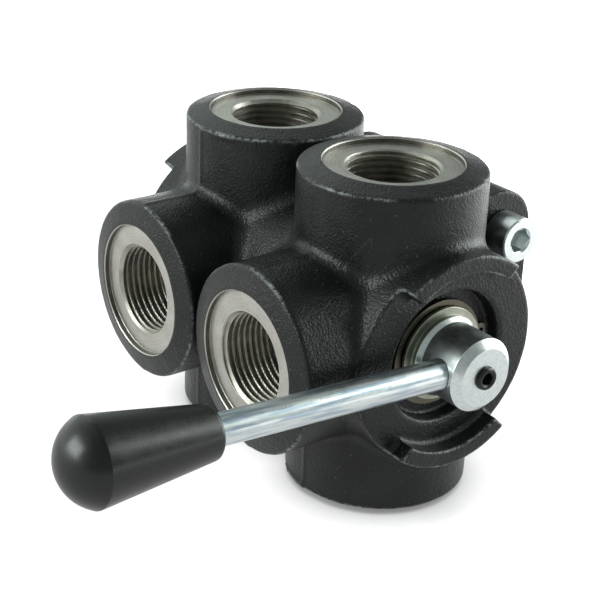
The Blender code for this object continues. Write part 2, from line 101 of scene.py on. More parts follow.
ROD_PLANE = 0.0421
ROD_END = 0.1350
ROD_INNER_END = -0.0085
KNOB_START = 0.0995
KNOB_RIDGE = 0.1394
KNOB_END = 0.1485
KNOB_NARROW = 0.0085
KNOB_WIDE = 0.0134
KNOB_BORE_END = 0.1353
SET_SCREW_RADIUS = 0.00396
SET_SCREW_ROOT = 0.0033
SET_SCREW_PITCH = 0.00125
SET_SCREW_POINT = 0.0026
SET_SCREW_HOLE = 0.0040
SET_SCREW_SOCKET = 0.0040
SET_SCREW_PROUD = 0.0015
LEVER_TILT = math.radians(4)
ROTOR_FRONT = 0.0176
ROTOR_REAR = 0.0277
ROTOR_GROOVES = (0.0132, -0.0140)
ELBOW_RADIUS = 0.0104
SLOT_LENGTH = 0.0290
SLOT_WIDTH = 0.0086
SLOT_DEPTH = 0.0040
TONGUE_DEPTH = 0.0037
JOURNAL_COLLAR = 0.0304
SPINDLE_FLANGE = SHOULDER - 0.0016
CIRCLIP_THICKNESS = 0.0015
CIRCLIP_FACE = 0.0288
CIRCLIP_GROOVE_RADIUS = 0.0150
CIRCLIP_EYE_PLACE = 0.0186
CIRCLIP_EYE_RADIUS = 0.0009
JOINT = PITCH / 2
ROTOR_RADIUS = BORE_RADIUS - GAP
JOURNAL_SEAL = (RECESS_FLOOR + SHOULDER) / 2

# --- The castings' joint, where paint fills all but a fine seam. The skin runs past it and is cut back. ---
JOINT_FACE = JOINT - 0.00004
SKIN_END = JOINT_FACE + 0.003

# --- The castings' roundings, the marks that their mould left, and their surface. Waves are (scale, depth),
# and nicks are (degrees round a boss, height, size). ---
VALLEY = 0.0036
RIM_EDGE = 0.0009
FLANGE_EDGE = 0.0009
RECESS_EDGE = 0.0016
RIB_EDGE = 0.0008
RIB_CORNER = 0.0005
RIB_FOOT = 0.0016
LUG_EDGE = 0.0012
LUG_FOOT = 0.0015
LAND = 0.0008
FLASH_HEIGHT = 0.0003
FLASH_WIDTH = 0.0010
LIP_RADIUS = 0.0009
LIP_HEIGHT = 0.0554
LIP_TURN = math.radians(14)
LIP_REACH = 0.0075
VOXEL = 0.0008
SINK = 0.00012
DEEPEST = 0.0003
WAVES = [(120, 0.00009), (380, 0.00004), (720, 0.000018)]
FRONT_NICKS = [(-57, 0.0562, 0.0014), (-118, 0.0564, 0.0010), (-20, -0.0560, 0.0012), (150, 0.0562, 0.0011)]
REAR_NICKS = [(40, -0.0562, 0.0012), (115, -0.0562, 0.0011), (-70, 0.0561, 0.0013), (10, -0.0560, 0.0010)]
CAST_CREASE = math.radians(75)
MACHINED_CREASE = math.radians(24)
TURNED_CREASE = math.radians(32)
WORN_BAND_SHARE = 0.25

# --- The camera and the light ---
CAMERA_PLACE = (-0.26971, -0.38274, 0.28110)
CAMERA_BACK = (-0.556835, -0.719339, 0.415315)
CAMERA_ROLL = math.radians(2.282)
CAMERA_LENS = 91.92
LAMP_COLOUR = (0.93, 1.0, 0.98)
KEY_SIDE = (0.995, 0.105, 0.0)
WINDOW_SIDE = (-0.64, 0.77, 0.0)

# --- Places ---
ORIGIN = Vector(next(j["pos_m"] for j in frame["joints"] if j["name"] == "front_rotor_turn"))
STAND = Matrix.Translation(ORIGIN)
TO_FRONT = Matrix.Rotation(math.pi / 2, 4, "X")
TO_REAR = Matrix.Rotation(-math.pi / 2, 4, "X")
TO_LEFT = Matrix.Rotation(-math.pi / 2, 4, "Y")
FLIP = Matrix.Translation((0, PITCH, 0)) @ Matrix.Rotation(math.pi, 4, "X")
LEVER = STAND @ Matrix.Rotation(LEVER_TILT, 4, "Y")
PORT_TURNS = {"top": 0.0, "left": -math.pi / 2, "bottom": math.pi}


# --- Meshes ---
def object_from(name, mesh, matrix=Matrix()):
    """Puts the mesh in the scene as an object."""
    made = bpy.data.objects.new(name, mesh)
    bpy.context.scene.collection.objects.link(made)
    made.matrix_world = matrix
    return made


def mesh_of(name, verts, faces):
    """A closed mesh whose faces all look outwards."""
    mesh = bpy.data.meshes.new(name)
    mesh.from_pydata([tuple(v) for v in verts], [], faces)
    bm = bmesh.new()
    bm.from_mesh(mesh)
    bmesh.ops.recalc_face_normals(bm, faces=bm.faces)
    bm.to_mesh(mesh)
    bm.free()
    return mesh


def softened(outline, radius):
    """The outline with its inner corners rounded, and a close point before and after each rounding."""
    nearly_straight = math.radians(165)
    share, beyond = 0.42, 1.15
    points = [Vector(p) for p in outline]
    made = [points[0]]
    for previous, corner, following in zip(points, points[1:], points[2:]):
        before = previous - corner
        after = following - corner
        if before.angle(after) > nearly_straight:
            made.append(corner)
            continue
        longest = share * min(before.length, after.length)
        reach = min(radius / math.tan(before.angle(after) / 2), longest)
        start = corner + before.normalized() * reach
        end = corner + after.normalized() * reach
        made.append(corner + before.normalized() * reach * beyond)
        for step in range(5):
            t = step / 4
            made.append(start * (1 - t) ** 2 + corner * 2 * t * (1 - t) + end * t**2)
        made.append(corner + after.normalized() * reach * beyond)
    return [(p.x, p.y) for p in [*made, points[-1]]]


def lathe(name, outline, steps=96, closed=False):
    """A solid of revolution about Z from (radius, height) points. An open outline ends on the axis."""
    verts, rings = [], []
    for radius, height in outline:
        if radius < 1e-7:
            rings.append([len(verts)] * steps)
            verts.append((0, 0, height))
        else:
            rings.append(list(range(len(verts), len(verts) + steps)))
            for step in range(steps):
                turn = 2 * math.pi * step / steps
                verts.append((radius * math.cos(turn), radius * math.sin(turn), height))
    faces = []
    pairs = list(zip(rings, rings[1:])) + ([(rings[-1], rings[0])] if closed else [])
    for first, second in pairs:
        for i in range(steps):
            j = (i + 1) % steps
            corners = [first[i], first[j], second[j], second[i]]
            faces.append(list(dict.fromkeys(corners)))
    return mesh_of(name, verts, faces)


def screw_thread(name, major, minor, pitch, low, high, steps=72, rows=8):
    """A rod with a rounded right-hand thread, along Z. Each row of points is one turn of the helix."""
    total = math.ceil((high - low) / pitch * rows) + rows
    middle, half = (major + minor) / 2, (major - minor) / 2
    verts = []
    for row in range(total):
        radius = middle + half * math.cos(2 * math.pi * row / rows)
        for step in range(steps):
            turn = 2 * math.pi * step / steps
            height = low + pitch * (row / rows + step / steps)
            verts.append((radius * math.cos(turn), radius * math.sin(turn), height))

    def index(row, step):
        return row * steps + step

    last = steps - 1
    faces = []
    for row in range(total - 1):
        for step in range(last):
            near, far = index(row, step), index(row + 1, step)
            faces.append([near, near + 1, far + 1, far])
        if row + rows + 1 < total:
            seam = [index(row, last), index(row + rows, 0), index(row + rows + 1, 0), index(row + 1, last)]
            faces.append(seam)
    bottom = [index(0, step) for step in range(steps)] + [index(row, 0) for row in range(rows, 0, -1)]
    top = [index(total - 1, step) for step in range(steps)]
    top += [index(row, last) for row in range(total - 2, total - 2 - rows, -1)]
    for loop, height in ((bottom, low - pitch), (top, verts[-1][2] + pitch)):
        centre = len(verts)
        verts.append((0, 0, height))
        for first, second in zip(loop, loop[1:] + loop[:1]):
            faces.append([first, second, centre])
    return mesh_of(name, verts, faces)


def bar(name, radius, low, high, steps=96):
    """A plain round bar along Z."""
    return lathe(name, [(0, low), (radius, low), (radius, high), (0, high)], steps=steps)


def hexagon(name, across, low, high):
    """A hexagonal bar along Z, by its width across flats."""
    return bar(name, across / math.sqrt(3), low, high, steps=6)


def plate(name, outline, low, high):
    """A flat plate of the given (x, y) outline, from height low to height high."""
    count = len(outline)
    verts = [(x, y, low) for x, y in outline] + [(x, y, high) for x, y in outline]
    faces = [list(range(count))[::-1], list(range(count, 2 * count))]
    for i in range(count):
        j = (i + 1) % count
        faces.append([i, j, count + j, count + i])
    return mesh_of(name, verts, faces)


def block(name, low, high):
    """A box from its low corner to its high corner."""
    bm = bmesh.new()
    low, high = Vector(low), Vector(high)
    size = Matrix.Diagonal((*(high - low), 1))
    bmesh.ops.create_cube(bm, size=1, matrix=Matrix.Translation((low + high) / 2) @ size)
    mesh = bpy.data.meshes.new(name)
    bm.to_mesh(mesh)
    bm.free()
    return mesh


def moved(mesh, matrix):
    """The same mesh, moved by the matrix."""
    mesh.transform(matrix)
    return mesh


def combine(mesh, operation, *others):
    """The mesh with others cut from it, joined to it or intersected with it. All are in one frame."""
    base = object_from("working", mesh)
    helpers = [object_from("helper", other) for other in others]
    for helper in helpers:
        modifier = base.modifiers.new("combine", "BOOLEAN")
        modifier.operation = operation
        modifier.object = helper
        modifier.solver = "MANIFOLD"
        modifier.material_mode = "TRANSFER"
    graph = bpy.context.evaluated_depsgraph_get()
    made = bpy.data.meshes.new_from_object(base.evaluated_get(graph))
    made.name = mesh.name
    for obj in [base, *helpers]:
        bpy.data.objects.remove(obj)
    return made


def with_material(mesh, finish):
    """The same mesh, all in one finish."""
    mesh.materials.clear()
    mesh.materials.append(finish)
    return mesh


def refinish_below(mesh, height, finish):
    """Gives the faces lower than this another finish."""
    mesh.materials.append(finish)
    for face in mesh.polygons:
        if face.center.z < height:
            face.material_index = len(mesh.materials) - 1


def crisp(mesh):
    """Smooth round the turned surfaces, and sharp where two of them meet."""
    mesh.shade_smooth()
    mesh.set_sharp_from_angle(angle=TURNED_CREASE)


def piece(name, mesh, matrix, body, nodes, finish=None, shade=crisp):
    """Puts a finished mesh in place, on its body, for the CAD nodes that it stands for."""
    if finish:
        with_material(mesh, finish)
    shade(mesh)
    made = object_from(name, mesh, matrix)
    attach(made, body)
    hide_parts(*nodes)
    if shade == crisp:
        flats = made.modifiers.new("flats", "WEIGHTED_NORMAL")
        flats.keep_sharp = True
    return made


# --- The casting's outer skin, as a distance to its surface ---
def joined(a, b, radius):
    """Distance to two shapes together, with a fillet where they meet."""
    corner = np.hypot(np.maximum(radius - a, 0), np.maximum(radius - b, 0))
    return np.maximum(radius, np.minimum(a, b)) - corner


def common(a, b, radius):
    """Distance to what two shapes share, with a rounded edge."""
    return -joined(-a, -b, radius)


def boss_end(radial, along):
    """Distance to a boss's shallow coned end and the flat land within it."""
    run = BOSS_RADIUS - SPOT_RADIUS - LAND
    rise = BOSS_RIM - BOSS_EDGE
    cone = ((along - BOSS_EDGE) * run + (radial - BOSS_RADIUS) * rise) / math.hypot(run, rise)
    return np.maximum(cone, along - BOSS_RIM)


def taper_distance(x, z, first, second):
    """Flat distance to the hull of two circles, each (x, z, radius)."""
    start, end = np.array(first[:2]), np.array(second[:2])
    length = math.hypot(*(end - start))
    along_x, along_z = (end - start) / length
    across = np.abs((x - start[0]) * along_z - (z - start[1]) * along_x)
    along = (x - start[0]) * along_x + (z - start[1]) * along_z
    lean = (first[2] - second[2]) / length
    rise = math.sqrt(1 - lean**2)
    height = along * rise - across * lean
    side = across * rise + along * lean - first[2]
    near_first = np.hypot(across, along) - first[2]
    near_second = np.hypot(across, along - length) - second[2]
    return np.where(height < 0, near_first, np.where(height > length * rise, near_second, side))


def lug_outline(x, z):
    """Flat distance to the lug: both screw posts, the web between them, and its run to the barrel."""
    centre = (0, 0, LUG_TANGENT_RADIUS)
    upper = (LUG_X, LUG_Z, LUG_RADIUS)
    lower = (LUG_X, -LUG_Z, LUG_RADIUS)
    outline = np.minimum(taper_distance(x, z, centre, upper), taper_distance(x, z, centre, lower))
    return np.minimum(outline, taper_distance(x, z, upper, lower))


def casting_parts(p):
    """Distances to the skin's walls and ends, negative inside. A sharp edge lies where a pair meets."""
    x, y, z = p[:, 0], p[:, 1], p[:, 2]
    flash = FLASH_HEIGHT * np.exp(-((y / FLASH_WIDTH) ** 2))
    upright, level, barrel = np.hypot(x, y), np.hypot(y, z), np.hypot(x, z)
    parts = {
        "upright": (upright - BOSS_RADIUS - flash, boss_end(upright, np.abs(z))),
        "left": (level - BOSS_RADIUS - flash, boss_end(level, -x)),
        "lug": (lug_outline(x, z), LUG_FRONT - y),
    }
    skin = common(*parts["left"], RIM_EDGE)
    skin = joined(common(*parts["upright"], RIM_EDGE), np.maximum(skin, x - LEFT_BOSS_END), VALLEY)
    lip = np.hypot(upright - BOSS_RADIUS, -z - LIP_HEIGHT) - LIP_RADIUS
    lip = np.maximum(lip, np.abs(np.arctan2(y, -x) - LIP_TURN) * BOSS_RADIUS - LIP_REACH)
    skin = joined(skin, lip, LIP_RADIUS)
    skin = joined(skin, barrel - BARREL_RADIUS - flash, VALLEY)
    skin = joined(skin, common(*parts["lug"], LUG_EDGE), LUG_FOOT)
    gap_flank = RIB_FLANK - (np.abs(z) - np.abs(x)) * math.sqrt(0.5)
    parts["rib"] = (common(RIB_INNER - barrel, gap_flank, RIB_CORNER), -y - FACE - RIB_HEIGHT)
    front = joined(-y - FACE, common(*parts["rib"], RIB_EDGE), RIB_FOOT)
    parts["flange"] = (skin, front)
    parts["recess"] = (RECESS_RADIUS - barrel, -y - FACE)
    return parts


def casting_distance(p):
    """Distance from each point to the skin of one casting, negative inside it."""
    parts = casting_parts(p)
    skin = common(*parts["flange"], FLANGE_EDGE)
    skin = common(skin, -np.maximum(-parts["recess"][0], p[:, 1] + RECESS_FLOOR), RECESS_EDGE)
    return np.maximum(skin, p[:, 1] - SKIN_END)


def ridge_distance(p):
    """Distance to the nearest worn edge, positive on its wall side and negative on its end side.

    The recess's edge, and the flange's where no rib stands on it, are worn in a narrower band.
    """
    nearest = np.full(len(p), 1.0)
    clear_of_ribs = np.abs(p[:, 2]) < np.abs(p[:, 0])
    for name, (wall, end) in casting_parts(p).items():
        far = np.maximum(np.abs(wall), np.abs(end))
        if name == "flange":
            far = far / np.where(clear_of_ribs, WORN_BAND_SHARE, 1.0)
        if name == "recess":
            far = far / WORN_BAND_SHARE
        nearest = np.where(far < np.abs(nearest), np.where(wall > end, far, -far), nearest)
    return nearest


def slope_of(points):
    """Gradient of the distance at each point, which is also the skin's outward direction."""
    step = 0.00005
    slope = np.empty_like(points)
    for axis in range(3):
        shift = np.zeros(3)
        shift[axis] = step
        slope[:, axis] = casting_distance(points + shift) - casting_distance(points - shift)
    return slope / (2 * step)


def onto_skin(points):
    """The points, each moved straight to the surface."""
    slope = slope_of(points)
    size = np.maximum((slope**2).sum(axis=1), 0.2)
    return points - slope * (casting_distance(points) / size)[:, None]


def casting_shells():
    """Plain overlapping solids that together are close to the skin."""
    shells = [moved(bar("barrel", BARREL_RADIUS, -SKIN_END, FACE), TO_FRONT)]
    rib_top = FACE + RIB_HEIGHT
    ring = [(BARREL_RADIUS, rib_top), (BARREL_RADIUS, 0), (RIB_INNER, 0), (RIB_INNER, rib_top)]
    reach = RIB_FLANK * math.sqrt(2)
    bow_tie = [(0, reach), (BOSS_RIM, BOSS_RIM + reach), (BOSS_RIM, -BOSS_RIM - reach), (0, -reach)]
    bow_tie += [(-BOSS_RIM, -BOSS_RIM - reach), (-BOSS_RIM, BOSS_RIM + reach)]
    gaps = plate("gaps", bow_tie, FACE, rib_top + CLEAR)
    shells.append(moved(combine(lathe("ring", ring, closed=True), "DIFFERENCE", gaps), TO_FRONT))
    boss = [(0, BOSS_RIM), (SPOT_RADIUS, BOSS_RIM), (BOSS_RADIUS, BOSS_EDGE), (BOSS_RADIUS, 0), (0, 0)]
    for turn in PORT_TURNS.values():
        shells.append(moved(lathe("boss", boss), Matrix.Rotation(turn, 4, "Y")))
    half = (SKIN_END - LUG_FRONT) / 2
    for side in (LUG_Z, -LUG_Z):
        middle = Matrix.Translation((LUG_X, LUG_FRONT + half, side)) @ TO_FRONT
        shells.append(moved(bar("post", LUG_RADIUS, -half, half), middle))
    web_half = BARREL_RADIUS * 0.99
    web_side = LUG_X + LUG_RADIUS * 0.9
    shells.append(block("web", (0, LUG_FRONT, -web_half), (web_side, SKIN_END, web_half)))
    return shells


def add_remesh(obj):
    remesh = obj.modifiers.new("remesh", "REMESH")
    remesh.mode = "VOXEL"
    remesh.voxel_size = VOXEL


def settle(mesh):
    """Evens out the mesh's points and moves them onto the exact surface."""
    points = np.empty(len(mesh.vertices) * 3)
    mesh.vertices.foreach_get("co", points)
    points = points.reshape(-1, 3)
    edges = np.empty(len(mesh.edges) * 2, int)
    mesh.edges.foreach_get("vertices", edges)
    edges = edges.reshape(-1, 2)
    valence = np.bincount(edges.ravel(), minlength=len(points))[:, None]
    for _ in range(4):
        points = onto_skin(onto_skin(points))
        total = np.zeros_like(points)
        np.add.at(total, edges[:, 0], points[edges[:, 1]])
        np.add.at(total, edges[:, 1], points[edges[:, 0]])
        points = points * 0.5 + total / valence * 0.5
    points = onto_skin(onto_skin(onto_skin(points)))
    mesh.vertices.foreach_set("co", points.ravel())
    mesh.update()


def casting_skin():
    """A fine, even mesh of the skin: joined solids, remeshed, then settled on the exact surface."""
    bm = bmesh.new()
    for shell in casting_shells():
        bm.from_mesh(shell)
    mesh = bpy.data.meshes.new("casting_skin")
    bm.to_mesh(mesh)
    bm.free()
    obj = object_from("remeshing", mesh)
    hollow = moved(bar("recess", RECESS_RADIUS, RECESS_FLOOR, FACE + CLEAR), TO_FRONT)
    recess = object_from("recess", hollow)
    add_remesh(obj)
    cut = obj.modifiers.new("cut", "BOOLEAN")
    cut.operation = "DIFFERENCE"
    cut.object = recess
    cut.solver = "MANIFOLD"
    add_remesh(obj)
    skin = bpy.data.meshes.new_from_object(obj.evaluated_get(bpy.context.evaluated_depsgraph_get()))
    bpy.data.objects.remove(obj)
    bpy.data.objects.remove(recess)
    settle(skin)
    return skin


def roughened(skin, seed, nicks):
    """A copy of the skin with the shallow waviness of sand casting and a few nicks, always inwards."""
    mesh = skin.copy()
    points = np.array([v.co for v in mesh.vertices])
    offset = Vector((seed, 0, 0))
    depths = np.full(len(points), SINK)
    for i, point in enumerate(points):
        place = Vector(point)
        depths[i] += sum(size * noise.noise(place * scale + offset) for scale, size in WAVES)
    depths = np.clip(depths, 0, DEEPEST)
    for degrees, height, size in nicks:
        turn = math.radians(degrees)
        nick = np.array((BOSS_RADIUS * math.cos(turn), BOSS_RADIUS * math.sin(turn), height))
        away = np.linalg.norm(points - nick, axis=1)
        depths += size * 0.5 * np.exp(-((away / size) ** 2))
    points -= slope_of(points) * depths[:, None]
    mesh.vertices.foreach_set("co", points.ravel())
    mesh.update()
    return mesh


def port_cutters(finishes):
    """Spotface with tool marks, chamfer, tapping bore and passage, then the thread, for each port."""
    chamfer = THREAD_MAJOR - 0.0003
    bottom = SPOT_FLOOR - THREAD_DEPTH
    foot = SPOT_RADIUS - 0.0005
    above, rim = BOSS_RIM + 2 * CLEAR, SPOT_RADIUS + 0.0003
    bore = [
        (0, above),
        (rim, above),
        (rim, BOSS_RIM - 0.0003),
        (SPOT_RADIUS, BOSS_RIM - 0.0006),
        (SPOT_RADIUS, SPOT_FLOOR),
        (foot, SPOT_FLOOR),
        (foot - 0.0001, SPOT_FLOOR - 0.00008),
        (foot - 0.0002, SPOT_FLOOR),
        (chamfer, SPOT_FLOOR),
        (THREAD_MINOR, SPOT_FLOOR - (chamfer - THREAD_MINOR)),
        (THREAD_MINOR, bottom),
        (PASSAGE_RADIUS, bottom - (THREAD_MINOR - PASSAGE_RADIUS)),
        (PASSAGE_RADIUS, 0.012),
        (0, 0.012),
    ]
    limit = [
        (0, SPOT_FLOOR + CLEAR),
        (THREAD_MAJOR + CLEAR, SPOT_FLOOR + CLEAR),
        (THREAD_MAJOR + CLEAR, bottom + 0.003),
        (THREAD_MINOR - 0.0005, bottom + 0.0005),
        (0, bottom + 0.0005),
    ]
    ends = (bottom - 0.002, SPOT_FLOOR + 0.004)
    rod = screw_thread("port_thread", THREAD_MAJOR, THREAD_MINOR - 0.00025, PORT_THREAD_PITCH, *ends)
    thread = combine(rod, "INTERSECT", lathe("limit", limit))
    cutters = []
    for turn in PORT_TURNS.values():
        face = with_material(lathe("bore", bore, steps=112), finishes["machined"])
        # The spotface wall gets dark iron, as painted shade for the shadow along it.
        refinish_below(face, BOSS_RIM - 0.0005, finishes["wall"])
        refinish_below(face, SPOT_FLOOR + 0.0003, finishes["machined"])
        refinish_below(face, SPOT_FLOOR - 0.00015, finishes["thread"])
        cut_thread = with_material(thread.copy(), finishes["thread"])
        cutters += [moved(mesh, Matrix.Rotation(turn, 4, "Y")) for mesh in (face, cut_thread)]
    return cutters


def inner_cutters(finish):
    """The stepped bore for the rotor and journal, and the two screw holes in the lug."""
    bore = [
        (0, 0.045),
        (JOURNAL_RADIUS + GAP, 0.045),
        (JOURNAL_RADIUS + GAP, SHOULDER),
        (BORE_RADIUS, SHOULDER),
        (BORE_RADIUS, RING_SEAT_DEPTH - JOINT),
        (RING_SEAT_RADIUS, RING_SEAT_DEPTH - JOINT),
        (RING_SEAT_RADIUS, -SKIN_END - CLEAR),
        (0, -SKIN_END - CLEAR),
    ]
    holes = [moved(lathe("bore", bore), TO_FRONT)]
    clear_hole = (SCREW_RADIUS + 0.0005, LUG_FRONT - CLEAR, LUG_Z)
    tapped_hole = (SCREW_ROOT, TAPPED_HOLE_END, -LUG_Z)
    for radius, low, side in (clear_hole, tapped_hole):
        hole = bar("hole", radius, low, SKIN_END + CLEAR, steps=48)
        holes.append(moved(hole, Matrix.Translation((LUG_X, 0, side)) @ TO_REAR))
    return [with_material(hole, finish) for hole in holes]


def mark_edges(mesh):
    """Stores each point's distance to the nearest worn edge, in millimetres, which its paint wears by."""
    points = np.array([v.co for v in mesh.vertices])
    ridge = mesh.attributes.new("ridge", "FLOAT", "POINT")
    ridge.data.foreach_set("value", (ridge_distance(points) * 1000).astype(np.float32))


def sharpen(mesh):
    """Keeps the cast skin smooth across its small roundings, and the machined faces crisp."""
    mesh.shade_smooth()
    bm = bmesh.new()
    bm.from_mesh(mesh)
    for edge in bm.edges:
        if len(edge.link_faces) != 2:
            continue
        first, second = (face.material_index for face in edge.link_faces)
        crease = CAST_CREASE if first == second == 0 else MACHINED_CREASE
        edge.smooth = edge.calc_face_angle(0) < crease
    bm.to_mesh(mesh)
    bm.free()


def castings(finishes):
    """Both bodies: one skin, roughened differently for each, with its holes and its joint face cut."""
    skin = casting_skin()
    for name, node, matrix, seed, nicks in (
        ("front_casting", "front_body", STAND, 3.1, FRONT_NICKS),
        ("rear_casting", "rear_body", STAND @ FLIP, 17.4, REAR_NICKS),
    ):
        mesh = with_material(roughened(skin, seed, nicks), finishes["cast"])
        low, high = (-0.1, JOINT_FACE, -0.1), (0.1, SKIN_END + CLEAR, 0.1)
        cutters = [with_material(block("beyond_joint", low, high), finishes["machined"])]
        cutters += port_cutters(finishes) + inner_cutters(finishes["thread"])
        mesh = combine(mesh, "DIFFERENCE", *cutters)
        mark_edges(mesh)
        piece(name, mesh, matrix, "valve_body", [node], shade=sharpen)


# --- Turned and drilled pieces ---
def seal_groove(height, radius, depth, half):
    """Outline points of a square groove, from its upper edge to its lower."""
    return [
        (radius, height + half),
        (radius - depth, height + half),
        (radius - depth, height - half),
        (radius, height - half),
    ]


def journal_points():
    """Outline of the journal of spindle and plug: circlip groove, seal groove and flange."""
    groove = CIRCLIP_FACE - CIRCLIP_THICKNESS - GAP
    return [
        (JOURNAL_RADIUS - 0.0002, JOURNAL_COLLAR),
        (JOURNAL_RADIUS, JOURNAL_COLLAR - 0.0002),
        (JOURNAL_RADIUS, CIRCLIP_FACE + GAP),
        (CIRCLIP_GROOVE_RADIUS, CIRCLIP_FACE + GAP),
        (CIRCLIP_GROOVE_RADIUS, groove),
        (JOURNAL_RADIUS, groove),
        *seal_groove(JOURNAL_SEAL, JOURNAL_RADIUS, 0.0025, 0.0014),
        (JOURNAL_RADIUS, SPINDLE_FLANGE),
        (ROTOR_RADIUS - 0.0002, SPINDLE_FLANGE),
        (ROTOR_RADIUS - 0.0002, ROTOR_FRONT + GAP),
        (0, ROTOR_FRONT + GAP),
    ]


def tongue(low, high):
    """The spindle's flat key, which drives the rotor's slot."""
    length, width = SLOT_LENGTH / 2 - GAP, SLOT_WIDTH / 2 - GAP
    return block("tongue", (-length, -width, low), (length, width, high))


def spindle_mesh():
    """Hub, skirt, journal and tongue in one, about Z, with the holes for the rod and the set screw."""
    skirt_neck = SKIRT_RADIUS - 0.0003
    hub = [
        (0, HUB_FRONT),
        (HUB_NOSE_RADIUS, HUB_FRONT),
        (HUB_RADIUS, HUB_NOSE_START),
        (HUB_RADIUS, SKIRT_CONE[0]),
        (SKIRT_RADIUS, SKIRT_CONE[1]),
        (SKIRT_RADIUS, SKIRT_UNDERSIDE),
        (skirt_neck, SKIRT_UNDERSIDE - 0.0002),
        (skirt_neck, JOURNAL_COLLAR + 0.0002),
        (SKIRT_RADIUS + 0.0008, JOURNAL_COLLAR),
    ]
    mesh = lathe("spindle", softened(hub + journal_points(), 0.0003), steps=128)
    mesh = combine(mesh, "UNION", tongue(ROTOR_FRONT + GAP - TONGUE_DEPTH, ROTOR_FRONT + CLEAR))
    toward_rod = Matrix.Translation((0, 0, ROD_PLANE)) @ TO_LEFT
    rod_hole = bar("rod_hole", ROD_RADIUS + 0.0002, ROD_INNER_END - 0.0005, HUB_RADIUS + 0.007, steps=64)
    set_hole = bar("set_hole", SET_SCREW_HOLE, ROD_PLANE, HUB_FRONT + CLEAR, steps=64)
    return combine(mesh, "DIFFERENCE", moved(rod_hole, toward_rod), set_hole)


def rod_mesh():
    """The lever's rod, along Z, with rounded ends."""
    outline = [(0, ROD_END), (ROD_RADIUS, ROD_END), (ROD_RADIUS, ROD_INNER_END), (0, ROD_INNER_END)]
    return lathe("lever_rod", softened(outline, 0.0006), steps=64)


def knob_mesh():
    """A taper that widens to a ridge and ends in a shallow dome, bored for the rod. All along Z."""
    bore = ROD_RADIUS + 0.0001
    height = KNOB_END - KNOB_RIDGE
    sphere = (KNOB_WIDE**2 + height**2) / (2 * height)
    dome = []
    for step in range(17):
        radius = (KNOB_WIDE - 0.0003) * step / 16
        dome.append((radius, KNOB_END - sphere + math.sqrt(sphere**2 - radius**2)))
    ridge = [(KNOB_WIDE - 0.00005, KNOB_RIDGE + 0.0002), (KNOB_WIDE, KNOB_RIDGE - 0.0002)]
    side = []
    for step in range(1, 13):
        t = step / 12
        radius = KNOB_WIDE + (KNOB_NARROW - KNOB_WIDE) * t
        side.append((radius, KNOB_RIDGE - 0.0002 + (KNOB_START + 0.0015 - KNOB_RIDGE) * t))
    narrow = [
        (KNOB_NARROW - 0.00015, KNOB_START + 0.0007),
        (KNOB_NARROW - 0.0006, KNOB_START + 0.0002),
        (KNOB_NARROW - 0.0015, KNOB_START),
        (bore, KNOB_START),
        (bore, KNOB_BORE_END),
        (0, KNOB_BORE_END),
    ]
    return lathe("lever_knob", dome + ridge + side + narrow, steps=112)


def set_screw_mesh():
    """A threaded set screw with a hexagon socket, along Z. Its point presses on the rod."""
    top = HUB_FRONT + SET_SCREW_PROUD
    rod_side = ROD_PLANE + ROD_RADIUS
    neck = rod_side + GAP
    shape = [
        (0, top),
        (0.0034, top),
        (SET_SCREW_RADIUS, top - 0.0005),
        (SET_SCREW_RADIUS, neck + 0.001),
        (SET_SCREW_POINT, neck),
        (0, neck),
    ]
    ends = (neck - 0.001, top + 0.0025)
    thread = screw_thread("set_screw", SET_SCREW_RADIUS, SET_SCREW_ROOT, SET_SCREW_PITCH, *ends, rows=10)
    mesh = combine(thread, "INTERSECT", lathe("shape", softened(shape, 0.0001), steps=72))
    mesh = combine(mesh, "UNION", bar("point", SET_SCREW_POINT, rod_side, neck + 0.0005, steps=48))
    above, below = top + CLEAR, top - 0.0005
    mouth = [(0, above), (0.0027, above), (0.0027, top - 0.00005), (0.0020, below), (0, below)]
    socket = hexagon("socket", SET_SCREW_SOCKET, top - 0.0028, above)
    return combine(mesh, "DIFFERENCE", socket, lathe("mouth", mouth))


def tie_screw_mesh():
    """A socket head cap screw along Z, head up."""
    root = SCREW_ROOT - GAP
    seat = -LUG_FRONT + GAP
    top = seat + SCREW_HEAD_HEIGHT
    plain = seat - SCREW_PLAIN_LENGTH
    tip = seat - SCREW_LENGTH
    outline = [
        (0, top),
        (SCREW_HEAD_RADIUS - 0.0005, top),
        (SCREW_HEAD_RADIUS, top - 0.0005),
        (SCREW_HEAD_RADIUS, seat),
        (SCREW_RADIUS, seat),
        (SCREW_RADIUS, plain),
        (root, plain - 0.0007),
        (root, tip + 0.001),
        (root - 0.001, tip),
        (0, tip),
    ]
    mesh = lathe("tie_screw", softened(outline, 0.00015), steps=80)
    floor = top - SCREW_SOCKET_DEPTH
    above, below = top + CLEAR, top - 0.0005
    socket = hexagon("socket", SCREW_SOCKET, floor, above)
    drill = [(0, floor + 0.0001), (0.0039, floor + 0.0001), (0, floor - 0.0015)]
    mouth = [(0, above), (0.0049, above), (0.0049, top + 0.0001), (0.0042, below), (0, below)]
    return combine(mesh, "DIFFERENCE", socket, lathe("drill", drill), lathe("mouth", mouth))


